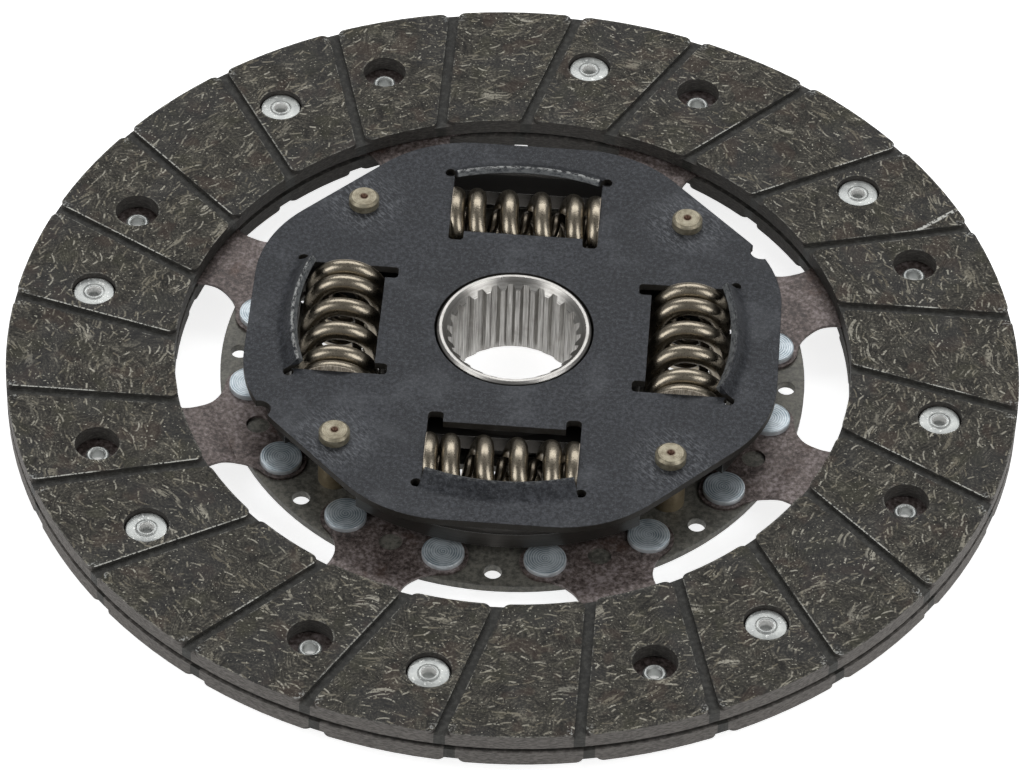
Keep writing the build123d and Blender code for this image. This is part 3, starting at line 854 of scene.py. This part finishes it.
def pinFinish():
    look = pinLook
    steel = Finish("pinSteel")
    spot = steel.place()
    x, y, z = steel.split(spot)
    off = look["circle"] * math.sqrt(0.5)  # the four pins stand on the diagonals
    fromAxis = distance(abs(x) - off, abs(y) - off)
    clouds = steel.noise(spot, **look["clouds"])
    pits = steel.noise(spot, **look["pits"])
    rings = (fromAxis * look["ringTurns"] + clouds * look["ringWobble"]).sin() * 0.5 + 0.5
    steel.colour = steel.mix(clouds.rise(*look["cloudRange"]), look["shade"], look["head"])
    steel.lay(look["bright"], pits, rings)
    steel.lay(look["pitted"], pits)
    steel.lay(look["rust"], fromAxis)
    steel.lay(look["shank"], z)
    rounded = steel.bevelled(look["edgeRound"])
    relief = rings * look["ringRelief"] + clouds + pits * look["pitRelief"]
    rough = look["rough"] + pits.swing(look["pitRough"])
    return steel.finish(rough, look["metal"], steel.bump(look, relief, rounded))


dress(pinFinish(), *numbered("stop_pin", 4))
print("hub, springs and pins dressed")

stackLook = {
    "clouds": {"scale": 0.4, "detail": 4.0, "rough": 0.6},
    "fine": {"scale": 3.0, "detail": 3.0, "rough": 0.6},
    "fineShare": 0.4,
    "fineRough": 0.2,
    "edgeRound": 0.15,
    "relief": 0.04,
    "reliefStrength": 0.5,
}

washerLook = stackLook | {"dark": tint(34, 33, 32), "light": tint(58, 56, 53), "metal": 0.0, "rough": 0.65}
cupLook = stackLook | {"dark": tint(92, 90, 88), "light": tint(136, 134, 132), "metal": 0.85, "rough": 0.38}
bushLook = stackLook | {"dark": tint(50, 44, 38), "light": tint(76, 66, 56), "metal": 0.0, "rough": 0.5}


def stackFinish(name, look):
    made = Finish(name)
    spot = made.place()
    fine = made.noise(spot, **look["fine"])
    tone = made.blend(look["fineShare"], made.noise(spot, **look["clouds"]), fine)
    made.colour = made.mix(tone, look["dark"], look["light"])
    rough = look["rough"] + fine.swing(look["fineRough"])
    return made.finish(rough, look["metal"], made.bump(look, fine, made.bevelled(look["edgeRound"])))


washers = ("friction_washer_gearbox_side", "friction_washer_flywheel_side")
dress(stackFinish("frictionWasher", washerLook), *washers)
dress(stackFinish("cupSpringSteel", cupLook), "cup_spring")
dress(stackFinish("bushPlastic", bushLook), "centring_bush")
print("friction stack dressed")

# rivets in millimetres and degrees; a profile's point is a radius, a step off it, a height, a step off it
segmentRivet = {
    "circle": 59.5,
    "first": 22.5,
    "halfSpread": 11.65,
    "axis": 0.0,
    "dishInner": 1.645,
    "dishOuter": 3.29,
    "shank": 2.6,
    "head": 4.7,
    "low": 0.2,
    "seat": 1.4,
    "sheet": 3.9,
    "top": 5.1,
    "steps": 64,
    "profile": [
        ("axis", 0.0, "low", 0.0), ("head", -0.3, "low", 0.0), ("head", -0.08, "low", 0.08),
        ("head", 0.0, "low", 0.3), ("head", 0.0, "seat", 0.0), ("shank", 0.0, "seat", 0.0),
        ("shank", 0.0, "sheet", 0.0), ("head", 0.0, "sheet", 0.0), ("head", 0.0, "top", -0.3),
        ("head", -0.08, "top", -0.08), ("head", -0.3, "top", 0.0), ("dishOuter", 0.0, "top", -0.04),
        ("dishInner", 0.0, "top", -0.02), ("axis", 0.0, "top", -0.05),
    ],
}

facingRivet = {
    "circle": 97.0,
    "firstGearbox": 38.3,
    "firstFlywheel": 22.3,
    "bore": 1.55,
    "shank": 2.1,
    "rim": 2.3,
    "roll": 2.6,
    "head": 4.65,
    "rollLow": 3.4,
    "tail": 4.4,
    "seat": 6.6,
    "headTop": 7.7,
    "rimTop": 7.95,
    "pack": 8.8,
    "steps": 48,
    "profile": [
        ("bore", 0.0, "rollLow", 0.25), ("bore", 0.3, "rollLow", 0.05),
        ("shank", 0.0, "rollLow", 0.0), ("roll", -0.3, "rollLow", 0.05),
        ("roll", 0.0, "rollLow", 0.35), ("roll", 0.0, "tail", 0.0), ("shank", 0.0, "tail", 0.0),
        ("shank", 0.0, "seat", 0.0), ("head", 0.0, "seat", 0.0), ("head", 0.0, "headTop", -0.3),
        ("head", -0.1, "headTop", -0.08), ("head", -0.35, "headTop", 0.0),
        ("rim", 0.35, "headTop", 0.0), ("rim", 0.08, "headTop", 0.06),
        ("rim", -0.1, "rimTop", -0.04), ("rim", -0.3, "rimTop", 0.0), ("bore", 0.3, "rimTop", 0.0),
        ("bore", 0.06, "rimTop", -0.1), ("bore", 0.0, "headTop", 0.0),
    ],
}

lathing = {"weld": 1e-7, "sliver": 1e-8, "crease": 32.0}  # metres, metres, degrees


def lathe(name, rivet, flip=None):
    # turns a rivet's profile about Z and keeps the local place for the finish
    steps = rivet["steps"]
    form = bmesh.new()
    rings = []
    for side, out, level, up in rivet["profile"]:
        radius, height = rivet[side] + out, rivet[level] + up
        z = height if flip is None else flip - height
        ring = []
        for k in range(steps):
            angle = fullTurn * k / steps
            corner = Vector((radius * math.cos(angle), radius * math.sin(angle), z)) * mm
            ring.append(form.verts.new(corner))
        rings.append(ring)
    count = len(rings)
    hollow = "bore" in rivet
    for i in range(count if hollow else count - 1):
        low, high = rings[i], rings[(i + 1) % count]
        for k in range(steps):
            n = (k + 1) % steps
            form.faces.new((low[k], low[n], high[n], high[k]))
    bmesh.ops.remove_doubles(form, verts=form.verts, dist=lathing["weld"])
    bmesh.ops.dissolve_degenerate(form, edges=form.edges, dist=lathing["sliver"])
    bmesh.ops.recalc_face_normals(form, faces=form.faces)
    for face in form.faces:
        face.smooth = True
    for edge in form.edges:
        if len(edge.link_faces) == 2 and edge.calc_face_angle() > math.radians(lathing["crease"]):
            edge.smooth = False
    mesh = bpy.data.meshes.new(name)
    form.to_mesh(mesh)
    form.free()
    local = mesh.attributes.new("local", "FLOAT_VECTOR", "POINT")
    for vertex in mesh.vertices:
        local.data[vertex.index].vector = vertex.co / mm
    return bpy.data.objects.new(name, mesh)


rivetInputs = (
    ("Rivet", "NodeSocketObject", None),
    ("Count", "NodeSocketInt", 8),
    ("Per Group", "NodeSocketInt", 1),
    ("Circle Radius", "NodeSocketFloat", 0.1),
    ("First Angle", "NodeSocketFloat", 0.0),
    ("Group Pitch", "NodeSocketFloat", 0.7854),
    ("Half Spread", "NodeSocketFloat", 0.0),
    ("Seed", "NodeSocketInt", 3),
    ("Finish", "NodeSocketMaterial", None),
)


def rivetTree():
    # rivets on a circle, in groups that are spread about their middle, each turned by chance
    group = bpy.data.node_groups.new("rivetCircle", "GeometryNodeTree")
    group.interface.new_socket("Geometry", in_out="INPUT", socket_type="NodeSocketGeometry")
    for label, kind, value in rivetInputs:
        socket = group.interface.new_socket(label, in_out="INPUT", socket_type=kind)
        if value is not None:
            socket.default_value = value
    group.interface.new_socket("Geometry", in_out="OUTPUT", socket_type="NodeSocketGeometry")
    tree = Tree(group)
    form = tree.node("NodeGroupInput", out="Rivet")
    given = {label: tree.other(form, label) for label, _, _ in rivetInputs}
    index = tree.node("GeometryNodeInputIndex")
    whole = (index / given["Per Group"]).floor()
    within = (index - whole * given["Per Group"]) * 2 - (given["Per Group"] - 1)
    angle = given["First Angle"] + whole * given["Group Pitch"] + within * given["Half Spread"]
    radius = given["Circle Radius"]
    spot = tree.node("ShaderNodeCombineXYZ", None, {0: radius * angle.cos(), 1: radius * angle.sin()})
    points = tree.node("GeometryNodePoints", None, {"Count": given["Count"], "Position": spot})
    original = {"transform_space": "ORIGINAL"}
    shape = tree.node("GeometryNodeObjectInfo", original, {"Object": given["Rivet"]}, "Geometry")
    limits = {2: 0.0, 3: fullTurn, "Seed": given["Seed"]}
    spin = tree.node("FunctionNodeRandomValue", {"data_type": "FLOAT"}, limits, 1)
    turn = tree.node("ShaderNodeCombineXYZ", None, {2: spin})
    each = {"Points": points, "Instance": shape, "Rotation": turn}
    placed = tree.node("GeometryNodeInstanceOnPoints", None, each)
    real = tree.node("GeometryNodeRealizeInstances", None, {0: placed})
    painted = tree.node("GeometryNodeSetMaterial", None, {"Geometry": real, "Material": given["Finish"]})
    tree.node("NodeGroupOutput", None, {"Geometry": painted})
    return group


def bake(name, tree, values):
    # runs a tree once and keeps its result as a plain mesh
    carrier = bpy.data.objects.new(name + "Carrier", bpy.data.meshes.new(name + "Carrier"))
    bpy.context.scene.collection.objects.link(carrier)
    modifier = carrier.modifiers.new("rule", "NODES")
    modifier.node_group = tree
    names = {item.name: item.identifier for item in tree.interface.items_tree if item.in_out == "INPUT"}
    for label, value in values.items():
        modifier[names[label]] = value
    bpy.context.view_layer.update()
    graph = bpy.context.evaluated_depsgraph_get()
    result = carrier.evaluated_get(graph)
    mesh = bpy.data.meshes.new_from_object(result, preserve_all_data_layers=True, depsgraph=graph)
    made = bpy.data.objects.new(name, mesh)
    bpy.context.scene.collection.objects.link(made)
    carrier.modifiers.remove(modifier)
    bpy.data.objects.remove(carrier)
    return made


rivetLook = {
    "clouds": {"scale": 0.35, "detail": 3.0, "rough": 0.6},
    "cloudRange": (0.3, 0.7),
    "topTilt": (0.8, 0.95),
    "topAmount": 0.6,
    "edgeRound": 0.18,
    # strength of the painted highlight along the sharp edges
    "edgeAmount": 0.7,
    "markRelief": 0.6,
    "cloudRelief": 0.4,
    "relief": 0.05,
    "reliefStrength": 0.6,
    "rough": 0.34,
    "cloudRough": 0.16,
    "metal": 0.55,
}

# a turning tool's spiral on the heads, and a painted highlight on the sides
zincLook = rivetLook | {
    "plain": tint(190, 201, 208),
    "bright": tint(232, 237, 240),
    "dark": tint(126, 142, 152),
    "spiralPitch": 0.54,
    "wobble": {"scale": 0.9, "detail": 2.0, "rough": 0.5},
    "wobbleAmount": 0.5,
    "spiralRange": (-0.2, 0.9),
    "sideAmount": 0.6,
}

# small bright dots on the heads, and a near-white painted highlight in the mouth of the bore, none further in
tubeLook = rivetLook | {
    "plain": tint(188, 191, 188),
    "bright": tint(236, 237, 234),
    "dark": tint(158, 161, 160),
    "dots": {"scale": 1.5, "detail": 0.0},
    "dotRange": (0.68, 0.74),
    "boreReach": (0.14, 0.05),
    "mouth": {"colour": tint(250, 250, 248), "range": (1.4, 2.2), "amount": 1.0},
}


def rivetFinish(name, look):
    steel = Finish(name)
    local = steel.node("ShaderNodeAttribute", {"attribute_name": "local"}, out="Vector")
    x, y, z = steel.split(local)
    radius = distance(x, y)
    spot = steel.place()
    clouds = steel.noise(spot, **look["clouds"])
    top = steel.levelness().rise(*look["topTilt"])
    spiral = "spiralPitch" in look
    if spiral:
        turns = radius / look["spiralPitch"] + x.math("ARCTAN2", y, x) / fullTurn
        turns = turns + steel.noise(spot, **look["wobble"]) * look["wobbleAmount"]
        marks = (turns * fullTurn).sin().rise(*look["spiralRange"])
    else:
        marks = steel.noise(spot, **look["dots"]).rise(*look["dotRange"])
    steel.colour = steel.mix(clouds.rise(*look["cloudRange"]), look["dark"], look["plain"])
    steel.coat(marks * top * look["topAmount"], look["bright"])
    # the sides of the zinc heads get a painted highlight
    if spiral:
        steel.coat((1 - top) * look["sideAmount"], look["bright"])
    else:
        # a painted highlight on the bore wall near its mouth
        inBore = (radius - facingRivet["bore"]).rise(*look["boreReach"])
        steel.lay(look["mouth"], abs(z - facingRivet["tail"]), inBore)
    rounded = steel.bevelled(look["edgeRound"])
    # a painted highlight along the sharp edges
    steel.coat(steel.edges(rounded) * look["edgeAmount"], look["bright"])
    relief = marks * top * look["markRelief"] + clouds * look["cloudRelief"]
    rough = look["rough"] + clouds.swing(look["cloudRough"])
    return steel.finish(rough, look["metal"], steel.bump(look, relief, rounded))


circleOfRivets = rivetTree()
segmentSet = {
    "name": "segmentRivets",
    "replaces": "segment_rivets",
    "slot": "segment_rivet",
    "form": lathe("segmentRivetForm", segmentRivet),
    "finish": rivetFinish("segmentRivetZinc", zincLook),
    "count": 16,
    "perGroup": 2,
    "circle": segmentRivet["circle"],
    "first": segmentRivet["first"],
    "halfSpread": segmentRivet["halfSpread"],
}
facingSet = {
    "slot": "facing_rivet",
    "finish": rivetFinish("facingRivetSteel", tubeLook),
    "count": 8,
    "perGroup": 1,
    "circle": facingRivet["circle"],
    "halfSpread": 0.0,
}
gearboxSet = facingSet | {
    "name": "facingRivetsGearbox",
    "replaces": "facing_rivets_gearbox_side",
    "form": lathe("facingRivetForm", facingRivet),
    "first": facingRivet["firstGearbox"],
}
flywheelSet = facingSet | {
    "name": "facingRivetsFlywheel",
    "replaces": "facing_rivets_flywheel_side",
    "form": lathe("facingRivetFormFlipped", facingRivet, facingRivet["pack"]),
    "first": facingRivet["firstFlywheel"],
}
for kind in (segmentSet, gearboxSet, flywheelSet):
    rivets = bake(kind["name"], circleOfRivets, {
        "Rivet": kind["form"],
        "Finish": kind["finish"],
        "Count": kind["count"],
        "Per Group": kind["perGroup"],
        "Circle Radius": kind["circle"] * mm,
        "First Angle": math.radians(kind["first"]),
        "Half Spread": math.radians(kind["halfSpread"]),
        "Group Pitch": fullTurn * kind["perGroup"] / kind["count"],
        "Seed": 3,
    })
    bpy.data.objects.remove(kind["form"])
    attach(rivets, "friction_disc")
    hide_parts(kind["replaces"])
print("rivets set")

studio = {
    "floorDrop": 5.65,  # millimetres below the origin
    "floorReach": 9.0,
    "floorColour": tint(238, 238, 238),
    "floorGlow": 0.8,
    "sky": 0.22,
    "white": (1, 1, 1, 1),
    # soft boxes, aimed at the origin, with sizes in metres and power in watts
    "boxes": [
        {"name": "leftBox", "place": (-0.74, -0.42, 0.6), "size": (0.5, 0.8), "power": 3.6},
        {"name": "rightBox", "place": (0.74, -0.42, 0.6), "size": (0.5, 0.8), "power": 3.6},
        {"name": "backBox", "place": (0.0, 0.66, 0.8), "size": (1.2, 0.5), "power": 5.0},
    ],
}


def floorFinish():
    # pale by its own glow for the camera and for what mirrors it
    look = Finish("paleFloor")
    path = look.node("ShaderNodeLightPath", out="Is Camera Ray")
    seen = path.most(look.other(path, "Is Glossy Ray")).most(look.other(path, "Is Transmission Ray"))
    plain = look.node("ShaderNodeBsdfDiffuse", None, {"Color": studio["floorColour"]})
    light = {"Color": studio["white"], "Strength": seen * studio["floorGlow"]}
    glow = look.node("ShaderNodeEmission", None, light)
    both = look.node("ShaderNodeAddShader", None, {0: plain, 1: glow})
    look.node("ShaderNodeOutputMaterial", None, {"Surface": both})
    return look.material


reach = studio["floorReach"]
level = -studio["floorDrop"] * mm
corners = [(-reach, -reach, level), (reach, -reach, level), (reach, reach, level), (-reach, reach, level)]
floorMesh = bpy.data.meshes.new("floor")
floorMesh.from_pydata(corners, [], [(0, 1, 2, 3)])
floorMesh.materials.append(floorFinish())
floor = bpy.data.objects.new("floor", floorMesh)
bpy.context.scene.collection.objects.link(floor)

world = bpy.data.worlds.new("studio")
bpy.context.scene.world = world
world.use_nodes = True
sky = world.node_tree.nodes["Background"]
sky.inputs["Color"].default_value = studio["white"]
sky.inputs["Strength"].default_value = studio["sky"]

for box in studio["boxes"]:
    lamp = bpy.data.lights.new(box["name"], "AREA")
    lamp.shape = "RECTANGLE"
    lamp.size, lamp.size_y = box["size"]
    lamp.energy = box["power"]
    holder = bpy.data.objects.new(box["name"], lamp)
    bpy.context.scene.collection.objects.link(holder)
    holder.location = box["place"]
    holder.rotation_euler = (-Vector(box["place"])).to_track_quat("-Z", "Y").to_euler()

view = {
    "eye": Vector((40.19, -896.81, 923.83)) * mm,
    "target": Vector((0.438, -10.211, 8.8)) * mm,
    "roll": 2.04,  # degrees
    "lens": 200.04,
    "sensor": 36.0,
    "clip": (0.05, 50.0),
}
lens = bpy.data.cameras.new("camera")
lens.lens = view["lens"]
lens.sensor_width = view["sensor"]
lens.clip_start, lens.clip_end = view["clip"]
camera = bpy.data.objects.new("camera", lens)
bpy.context.scene.collection.objects.link(camera)
ahead = (view["target"] - view["eye"]).normalized()
side = ahead.cross(Vector((0, 0, 1))).normalized()
upward = side.cross(ahead)
roll = math.radians(view["roll"])
right = side * math.cos(roll) + upward * math.sin(roll)
top = upward * math.cos(roll) - side * math.sin(roll)
camera.matrix_world = Matrix((
    (right.x, top.x, -ahead.x, view["eye"].x),
    (right.y, top.y, -ahead.y, view["eye"].y),
    (right.z, top.z, -ahead.z, view["eye"].z),
    (0, 0, 0, 1),
))
bpy.context.scene.camera = camera
bpy.context.scene.view_settings.view_transform = "Standard"
print("floor, light and camera ready")
